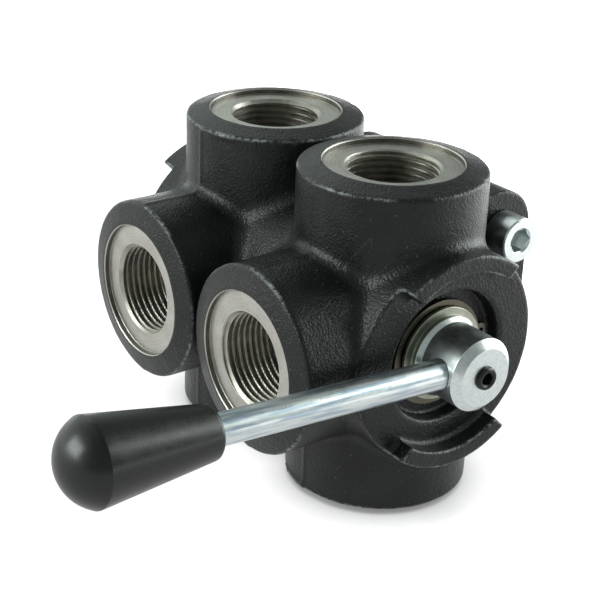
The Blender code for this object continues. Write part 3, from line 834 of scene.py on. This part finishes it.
def rotor_mesh():
    """The rotor about the spindle's axis, with a passage either side of the lever, in the valve's frame."""
    outline = [(0, ROTOR_FRONT), (ROTOR_RADIUS, ROTOR_FRONT)]
    for height in ROTOR_GROOVES:
        outline += seal_groove(height, ROTOR_RADIUS, 0.0028, 0.0017)
    outline += [(ROTOR_RADIUS, -ROTOR_REAR), (0, -ROTOR_REAR)]
    mesh = moved(lathe("rotor", softened(outline, 0.0003), steps=112), TO_FRONT)
    elbow = [(0, ELBOW_RADIUS)]
    for i in range(1, 12):
        turn = math.pi * i / 12
        elbow.append((ELBOW_RADIUS * math.sin(turn), ELBOW_RADIUS * math.cos(turn)))
    cutters = [lathe("elbow", elbow + [(0, -ELBOW_RADIUS)], steps=60)]
    for turn in (math.radians(-45), math.radians(-135)):
        passage = bar("passage", PASSAGE_RADIUS, 0, 0.030, steps=72)
        cutters.append(moved(passage, Matrix.Rotation(turn, 4, "Y")))
    length, width = SLOT_LENGTH / 2, SLOT_WIDTH / 2
    front_slot = (ROTOR_FRONT - SLOT_DEPTH, ROTOR_FRONT + 2 * CLEAR)
    rear_slot = (-ROTOR_REAR - 2 * CLEAR, SLOT_DEPTH - ROTOR_REAR)
    for low, high in (front_slot, rear_slot):
        cutters.append(moved(block("slot", (-length, -width, low), (length, width, high)), TO_FRONT))
    return combine(mesh, "DIFFERENCE", *cutters)


def circlip_mesh(name):
    """External retaining ring, its gap towards +X, lying in the XY plane."""
    inner, eye_turn = CIRCLIP_GROOVE_RADIUS + GAP / 2, math.radians(14)
    gap, ear_end, arm_start = math.radians(6), math.radians(22), math.radians(26)
    rounding = 0.00012

    def polar(radius, turn):
        return Vector((radius * math.cos(turn), radius * math.sin(turn)))

    half = [polar(inner, gap), polar(0.0196, gap)]
    half += [polar(0.0206, gap + math.radians(t)) for t in (3, 6, 9, 12)]
    half += [polar(0.0202, ear_end - math.radians(2)), polar(0.0193, ear_end)]
    half.append(polar(0.0180, ear_end + math.radians(1)))
    for step in range(41):
        turn = arm_start + (math.pi - arm_start) * step / 40
        half.append(polar(0.0178 + 0.0014 * (1 - math.cos(turn)) / 2, turn))
    hollow = [polar(inner, math.pi - (math.pi - gap) * step / 48) for step in range(48)]
    outside = half + [Vector((p.x, -p.y)) for p in reversed(half[:-1])]
    inside = [Vector((p.x, -p.y)) for p in reversed(hollow[1:])] + hollow
    loops = [outside + inside]
    for side in (1, -1):
        middle = polar(CIRCLIP_EYE_PLACE, side * eye_turn)
        loops.append([middle + polar(CIRCLIP_EYE_RADIUS, math.pi * step / 12) for step in range(24)])
    curve = bpy.data.curves.new(name, "CURVE")
    curve.dimensions = "2D"
    curve.fill_mode = "BOTH"
    curve.bevel_depth = rounding
    curve.bevel_resolution = 2
    curve.offset = -rounding
    curve.extrude = CIRCLIP_THICKNESS / 2 - rounding
    for points in loops:
        spline = curve.splines.new("POLY")
        spline.points.add(len(points) - 1)
        for point, place in zip(spline.points, points):
            point.co = (place.x, place.y, 0, 1)
        spline.use_cyclic_u = True
    obj = bpy.data.objects.new("clip", curve)
    bpy.context.scene.collection.objects.link(obj)
    mesh = bpy.data.meshes.new_from_object(obj.evaluated_get(bpy.context.evaluated_depsgraph_get()))
    bpy.data.objects.remove(obj)
    bm = bmesh.new()
    bm.from_mesh(mesh)
    bmesh.ops.remove_doubles(bm, verts=bm.verts, dist=0.000002)
    bmesh.ops.recalc_face_normals(bm, faces=bm.faces)
    bm.to_mesh(mesh)
    bm.free()
    return mesh


def lever_pieces(finishes):
    """The group that turns with the hand lever."""
    axis = LEVER @ TO_FRONT
    along_rod = LEVER @ Matrix.Translation((0, -ROD_PLANE, 0)) @ TO_LEFT
    clip = LEVER @ Matrix.Translation((0, CIRCLIP_THICKNESS / 2 - CIRCLIP_FACE, 0)) @ TO_FRONT
    zinc, oxide, spring = finishes["zinc"], finishes["oxide"], finishes["spring"]
    hub = piece("hub_and_spindle", spindle_mesh(), axis, "lever", ["spindle"], zinc)
    refinish_below(hub.data, FILM_TOP, finishes["film"])
    piece("rod", rod_mesh(), along_rod, "lever", ["lever_rod"], finishes["rod"])
    knob = moved(knob_mesh(), STAND.inverted() @ along_rod)
    piece("knob", knob, STAND, "lever", ["lever_knob"], finishes["knob"])
    piece("rod_set_screw", set_screw_mesh(), axis, "lever", ["lever_set_screw"], oxide)
    piece("spindle_clip", circlip_mesh("clip"), clip, "lever", ["spindle_circlip"], spring)


def body_pieces(finishes):
    """The fixed pieces besides the castings: both tie screws, the end plug and its circlip."""
    screw_place = Matrix.Translation((LUG_X, 0, LUG_Z)) @ TO_FRONT
    for end, flip in (("front", Matrix()), ("rear", FLIP)):
        place = STAND @ flip @ screw_place
        node = f"{end}_tie_screw"
        piece(f"{end}_screw", tie_screw_mesh(), place, "valve_body", [node], finishes["zinc"])
    plug = lathe("plug", softened([(0, JOURNAL_COLLAR)] + journal_points(), 0.0003), steps=112)
    axis = STAND @ FLIP @ TO_FRONT
    piece("rear_plug", plug, axis, "valve_body", ["end_plug"], finishes["steel"])
    lift = Matrix.Translation((0, CIRCLIP_THICKNESS / 2 - CIRCLIP_FACE, 0))
    place = STAND @ FLIP @ lift @ TO_LEFT @ TO_FRONT
    clip, spring = circlip_mesh("clip"), finishes["spring"]
    piece("rear_clip", clip, place, "valve_body", ["end_plug_circlip"], spring)


def rotor_pieces(finishes):
    for end, flip in (("front", Matrix()), ("rear", FLIP)):
        name, body, node = f"{end}_plug_rotor", f"{end}_rotor_set", f"{end}_rotor"
        piece(name, rotor_mesh(), LEVER @ flip, body, [node], finishes["steel"])


# --- Materials ---
class Nodes:
    """Short calls for building one node tree."""

    def __init__(self, tree, coordinates):
        self.tree = tree
        self.place = self.add("ShaderNodeTexCoord").outputs[coordinates]

    def add(self, kind, settings=None, **values):
        made = self.tree.nodes.new(kind)
        for name, value in (settings or {}).items():
            setattr(made, name, value)
        for name, value in values.items():
            self.set(made.inputs[name.replace("_", " ")], value)
        return made

    def set(self, socket, value):
        if isinstance(value, bpy.types.NodeSocket):
            self.tree.links.new(value, socket)
        else:
            socket.default_value = value

    def noise(self, scale, detail=3.0, roughness=0.55, vector=None):
        made = self.add("ShaderNodeTexNoise", Scale=scale, Detail=detail, Roughness=roughness)
        self.set(made.inputs["Vector"], vector or self.place)
        return made.outputs["Fac"]

    def cells(self, scale):
        made = self.add("ShaderNodeTexVoronoi", {"feature": "SMOOTH_F1"}, Vector=self.place, Scale=scale)
        return made.outputs["Distance"]

    def stretch(self, sizes):
        made = self.add("ShaderNodeMapping", Vector=self.place, Scale=sizes)
        return made.outputs["Vector"]

    def ramp(self, value, low, high, to_low=0.0, to_high=1.0):
        made = self.add("ShaderNodeMapRange", Value=value)
        limits = {"From Min": low, "From Max": high, "To Min": to_low, "To Max": to_high}
        for name, number in limits.items():
            made.inputs[name].default_value = number
        return made.outputs["Result"]

    def maths(self, operation, first, second):
        made = self.add("ShaderNodeMath", {"operation": operation})
        self.set(made.inputs[0], first)
        self.set(made.inputs[1], second)
        return made.outputs[0]

    def mix(self, share, first, second):
        made = self.add("ShaderNodeMix", {"data_type": "RGBA"})
        self.set(made.inputs["Factor"], share)
        self.set(made.inputs["A"], first)
        self.set(made.inputs["B"], second)
        return made.outputs["Result"]

    def bump(self, height, distance):
        made = self.add("ShaderNodeBump", Height=height, Distance=distance, Strength=1.0)
        return made.outputs["Normal"]


class Finish(Nodes):
    """One material, drawn in the piece's own coordinates."""

    def __init__(self, name):
        self.material = bpy.data.materials.new(name)
        self.material.use_nodes = True
        super().__init__(self.material.node_tree, "Object")
        self.shader = self.tree.nodes["Principled BSDF"]

    def made_with(self, **values):
        for name, value in values.items():
            self.set(self.shader.inputs[name.replace("_", " ")], value)
        return self.material


def colour(red, green, blue):
    return (red, green, blue, 1.0)


def cast_paint():
    """Satin black paint over sand-cast iron: a pebbled grain, and greyer metal where edges have worn."""
    n = Finish("cast_paint")
    ridge = n.add("ShaderNodeAttribute", {"attribute_name": "ridge"}).outputs["Fac"]
    near_edge = n.ramp(n.maths("ABSOLUTE", ridge, 0.0), 1.10, 0.30)
    patches = n.ramp(n.noise(60, 3), 0.44, 0.58)
    broken = n.ramp(n.noise(650, 4, 0.7), 0.42, 0.58)
    wear = n.maths("MULTIPLY", near_edge, n.maths("MULTIPLY", patches, broken))
    blotch = n.noise(90, 4)
    base = n.mix(n.ramp(blotch, 0.35, 0.65), colour(0.0055, 0.0060, 0.0060), colour(0.0105, 0.0112, 0.0112))
    worn = n.mix(wear, base, colour(0.19, 0.205, 0.215))
    # Sparse light grey specks on the paint.
    light_specks = n.ramp(n.noise(900, 3), 0.68, 0.74)
    painted = n.mix(n.maths("MULTIPLY", light_specks, 0.6), worn, colour(0.15, 0.155, 0.155))
    rough = n.ramp(blotch, 0.3, 0.7, 0.27, 0.36)
    grain = n.maths("ADD", n.noise(1400, 2.0, 0.5), n.maths("MULTIPLY", n.cells(1100), 0.5))
    pebbled = n.bump(grain, 0.00023)
    n.shader.inputs["Specular IOR Level"].default_value = 0.28
    return n.made_with(Base_Color=painted, Roughness=rough, Normal=pebbled)


def machined_iron():
    """Bare iron cut on a machine: fine tool marks round each port, with a brownish film."""
    n = Finish("machined_iron")
    distance = n.add("ShaderNodeVectorMath", {"operation": "LENGTH"})
    n.set(distance.inputs[0], n.place)
    turns = n.add("ShaderNodeTexNoise", {"noise_dimensions": "1D"}, Scale=1.0, Detail=3.0)
    n.set(turns.inputs["W"], n.maths("MULTIPLY", distance.outputs["Value"], 2600))
    stain = n.noise(110, 4)
    base = n.mix(n.ramp(stain, 0.35, 0.7), colour(0.50, 0.49, 0.455), colour(0.37, 0.35, 0.31))
    fine = n.mix(n.ramp(turns.outputs["Fac"], 0.3, 0.7, 0.0, 0.6), base, colour(0.56, 0.55, 0.52))
    speck = n.mix(n.ramp(n.noise(1500, 3), 0.58, 0.70, 0.0, 0.5), fine, colour(0.16, 0.15, 0.13))
    rough = n.ramp(n.noise(700, 2), 0.3, 0.7, 0.28, 0.42)
    marks = n.maths("ADD", turns.outputs["Fac"], n.maths("MULTIPLY", n.noise(1900, 2), 0.6))
    return n.made_with(Base_Color=speck, Metallic=1.0, Roughness=rough, Normal=n.bump(marks, 0.00009))


def mottled(name, tones, cloud, spread, gloss, rough, grain, depth, metallic=1.0):
    """Two close tones in soft clouds, with uneven gloss and a fine grain. Each noise is (scale, detail)."""
    n = Finish(name)
    base = n.mix(n.ramp(n.noise(*cloud), *spread), *tones)
    shine = n.ramp(n.noise(*gloss), 0.3, 0.7, *rough)
    normal = n.bump(n.noise(*grain), depth)
    return n.made_with(Base_Color=base, Metallic=metallic, Roughness=shine, Normal=normal)


def darkened_iron(name, *tones):
    """Darker iron: the threads inside the ports, and painted shade on the spotface walls."""
    return mottled(name, tones, (140, 4), (0.35, 0.7), (500, 2), (0.33, 0.44), (1700, 2), 0.000006)


def zinc_plate(name, streak_share, streak_colour):
    """Bright zinc plate with fine streaks, which run along the Z axis of the piece."""
    n = Finish(name)
    cloud = n.noise(160, 4)
    base = n.mix(n.ramp(cloud, 0.35, 0.65), colour(0.70, 0.735, 0.72), colour(0.63, 0.675, 0.68))
    marks = n.noise(1.0, 2, 0.5, n.stretch((900, 900, 60)))
    streaked = n.mix(n.ramp(marks, 0.44, 0.62, 0.0, streak_share), base, streak_colour)
    rough = n.ramp(n.noise(420, 3), 0.3, 0.7, 0.27, 0.35)
    return n.made_with(Base_Color=streaked, Metallic=1.0, Roughness=rough, Normal=n.bump(marks, 0.000004))


def zinc_film():
    """Zinc plate with the greenish-yellow film that it keeps where nothing rubs it."""
    tones = colour(0.36, 0.375, 0.31), colour(0.26, 0.27, 0.22)
    return mottled("zinc_film", tones, (220, 4), (0.35, 0.65), (500, 3), (0.28, 0.40), (1500, 2), 0.00002)


def turned_steel():
    """Bright steel with fine turning marks, which run round the Z axis of the piece."""
    n = Finish("turned_steel")
    marks = n.noise(1.0, 2, 0.5, n.stretch((25, 25, 2600)))
    base = n.mix(n.noise(130, 4), colour(0.46, 0.45, 0.42), colour(0.56, 0.55, 0.52))
    rough = n.ramp(n.noise(500, 2), 0.3, 0.7, 0.24, 0.38)
    return n.made_with(Base_Color=base, Metallic=1.0, Roughness=rough, Normal=n.bump(marks, 0.00001))


def bearing_bronze():
    tones = colour(0.47, 0.29, 0.13), colour(0.60, 0.40, 0.20)
    return mottled("bearing_bronze", tones, (200, 4), (0, 1), (900, 2), (0.32, 0.48), (1800, 2), 0.00001)


def seal_rubber():
    tones = colour(0.011, 0.011, 0.011), colour(0.022, 0.021, 0.020)
    return mottled("seal_rubber", tones, (300, 3), (0, 1), (800, 2), (0.45, 0.62), (2600, 2), 0.00002, 0.0)


def spring_steel():
    """Dark oil-hardened steel."""
    tones = colour(0.085, 0.078, 0.060), colour(0.135, 0.124, 0.097)
    return mottled("spring_steel", tones, (240, 4), (0, 1), (700, 3), (0.24, 0.36), (2200, 2), 0.00001)


def black_oxide():
    tones = colour(0.012, 0.012, 0.013), colour(0.035, 0.035, 0.037)
    return mottled("black_oxide", tones, (500, 3), (0, 1), (900, 2), (0.22, 0.34), (2500, 2), 0.00001, 0.6)


def knob_plastic():
    """Moulded black plastic with a satin gloss."""
    n = Finish("knob_plastic")
    base = n.mix(n.noise(120, 3), colour(0.0020, 0.0022, 0.0023), colour(0.0040, 0.0044, 0.0046))
    rough = n.ramp(n.noise(260, 3), 0.3, 0.7, 0.25, 0.33)
    n.shader.inputs["Specular IOR Level"].default_value = 0.43
    return n.made_with(Base_Color=base, Roughness=rough, Normal=n.bump(n.noise(1900, 3), 0.000016))


def all_finishes():
    return {
        "cast": cast_paint(),
        "machined": machined_iron(),
        "thread": darkened_iron("threaded_iron", colour(0.43, 0.415, 0.37), colour(0.25, 0.235, 0.20)),
        # Dark iron on the spotface walls is painted shade.
        "wall": darkened_iron("spotface_wall_painted_shade", colour(0.17, 0.16, 0.14), colour(0.09, 0.085, 0.072)),
        "zinc": zinc_plate("zinc_plate", 0.35, colour(0.44, 0.50, 0.53)),
        "rod": zinc_plate("drawn_zinc", 0.80, colour(0.30, 0.39, 0.48)),
        "film": zinc_film(),
        "steel": turned_steel(),
        "bronze": bearing_bronze(),
        "rubber": seal_rubber(),
        "spring": spring_steel(),
        "oxide": black_oxide(),
        "knob": knob_plastic(),
    }


def dress_kept_nodes(finishes):
    """Gives each CAD node that is still shown the finish of its kind."""
    for name, node in frame["nodes"].items():
        if node.hide_render:
            continue
        if "seal" in name:
            finish = finishes["rubber"]
        elif "washer" in name:
            finish = finishes["bronze"]
        else:
            finish = finishes["steel"]
        with_material(node.data, finish)


# --- Surroundings ---
def floor_paper():
    """White paper that glows a little, less so close under the object, so that its shadow stays near it."""
    n = Finish("floor_paper")
    hidden = n.add("ShaderNodeAmbientOcclusion", {"samples": 8}, Distance=0.022)
    glow = n.ramp(hidden.outputs["AO"], 0.25, 0.85, 0.22, 1.0)
    toward_key = n.add("ShaderNodeVectorMath", {"operation": "DOT_PRODUCT"})
    n.set(toward_key.inputs[0], n.place)
    n.set(toward_key.inputs[1], KEY_SIDE)
    glare = n.ramp(toward_key.outputs["Value"], 0.12, 0.40, 0.0, 2.0)
    grain = n.mix(n.noise(60, 3), colour(0.10, 0.10, 0.10), colour(0.14, 0.14, 0.14))
    seen = n.add("ShaderNodeLightPath").outputs["Is Camera Ray"]
    to_object = n.ramp(seen, 0, 1, 0.72, 1.0)
    n.set(n.shader.inputs["Emission Strength"], n.maths("MULTIPLY", n.maths("ADD", glow, glare), to_object))
    return n.made_with(Base_Color=grain, Roughness=0.9, Emission_Color=colour(1, 1, 1))


def backdrop():
    """White to the camera. To the object it is a room, brighter on its window's side and low down."""
    world = bpy.data.worlds.new("studio")
    bpy.context.scene.world = world
    world.use_nodes = True
    world.node_tree.nodes.clear()
    n = Nodes(world.node_tree, "Generated")
    height = n.add("ShaderNodeSeparateXYZ", Vector=n.place).outputs["Z"]
    facing = n.add("ShaderNodeVectorMath", {"operation": "DOT_PRODUCT"})
    n.set(facing.inputs[0], n.place)
    n.set(facing.inputs[1], WINDOW_SIDE)
    low_down = n.ramp(height, 0.25, 0.95, 1.0, 0.75)
    window = n.ramp(facing.outputs["Value"], 0.15, 1, 0.40, 1.6)
    seen = n.add("ShaderNodeLightPath").outputs["Is Camera Ray"]
    tint = n.mix(seen, colour(0.90, 1.0, 0.96), colour(1, 1, 1))
    strength = n.maths("MAXIMUM", seen, n.maths("MULTIPLY", low_down, window))
    background = n.add("ShaderNodeBackground", Color=tint, Strength=strength)
    output = n.add("ShaderNodeOutputWorld")
    n.set(output.inputs["Surface"], background.outputs["Background"])


def softbox(name, azimuth, height, distance, width, tall, power):
    """A lit rectangle that faces the object, by its direction in degrees, its distance and its size."""
    lamp = bpy.data.lights.new(name, "AREA")
    lamp.shape = "RECTANGLE"
    lamp.size = width
    lamp.size_y = tall
    lamp.energy = power
    lamp.color = LAMP_COLOUR
    made = bpy.data.objects.new(name, lamp)
    bpy.context.scene.collection.objects.link(made)
    turn, rise = math.radians(azimuth), math.radians(height)
    toward = Vector((math.cos(turn) * math.cos(rise), math.sin(turn) * math.cos(rise), math.sin(rise)))
    made.location = toward * distance + Vector((0, 0, 0.05))
    made.rotation_euler = toward.to_track_quat("Z", "Y").to_euler()


def studio():
    """The floor just below the valve, the room, and three softboxes."""
    floor = object_from("floor", block("floor", (-6, -6, -0.02), (6, 6, -0.0002)))
    with_material(floor.data, floor_paper())
    backdrop()
    softbox("key_softbox", -15, 19, 1.1, 1.05, 0.75, 13.2)
    softbox("fill_softbox", 160, 27, 1.3, 0.85, 0.55, 12.0)
    softbox("rear_softbox", 74, 42, 1.3, 0.90, 0.60, 1.3)


def camera():
    """The camera, by its place, the direction behind it and a small roll."""
    back = Vector(CAMERA_BACK).normalized()
    right = (-back).cross(Vector((0, 0, 1))).normalized()
    up = right.cross(-back)
    rolled_right = right * math.cos(CAMERA_ROLL) + up * math.sin(CAMERA_ROLL)
    rolled_up = up * math.cos(CAMERA_ROLL) - right * math.sin(CAMERA_ROLL)
    data = bpy.data.cameras.new("camera")
    data.lens = CAMERA_LENS
    made = bpy.data.objects.new("camera", data)
    bpy.context.scene.collection.objects.link(made)
    turn = Matrix((rolled_right, rolled_up, back)).transposed().to_4x4()
    made.matrix_world = Matrix.Translation(CAMERA_PLACE) @ turn
    bpy.context.scene.camera = made


def main():
    finishes = all_finishes()
    castings(finishes)
    lever_pieces(finishes)
    body_pieces(finishes)
    rotor_pieces(finishes)
    dress_kept_nodes(finishes)
    studio()
    camera()
    bpy.context.scene.view_settings.view_transform = "Standard"


main()
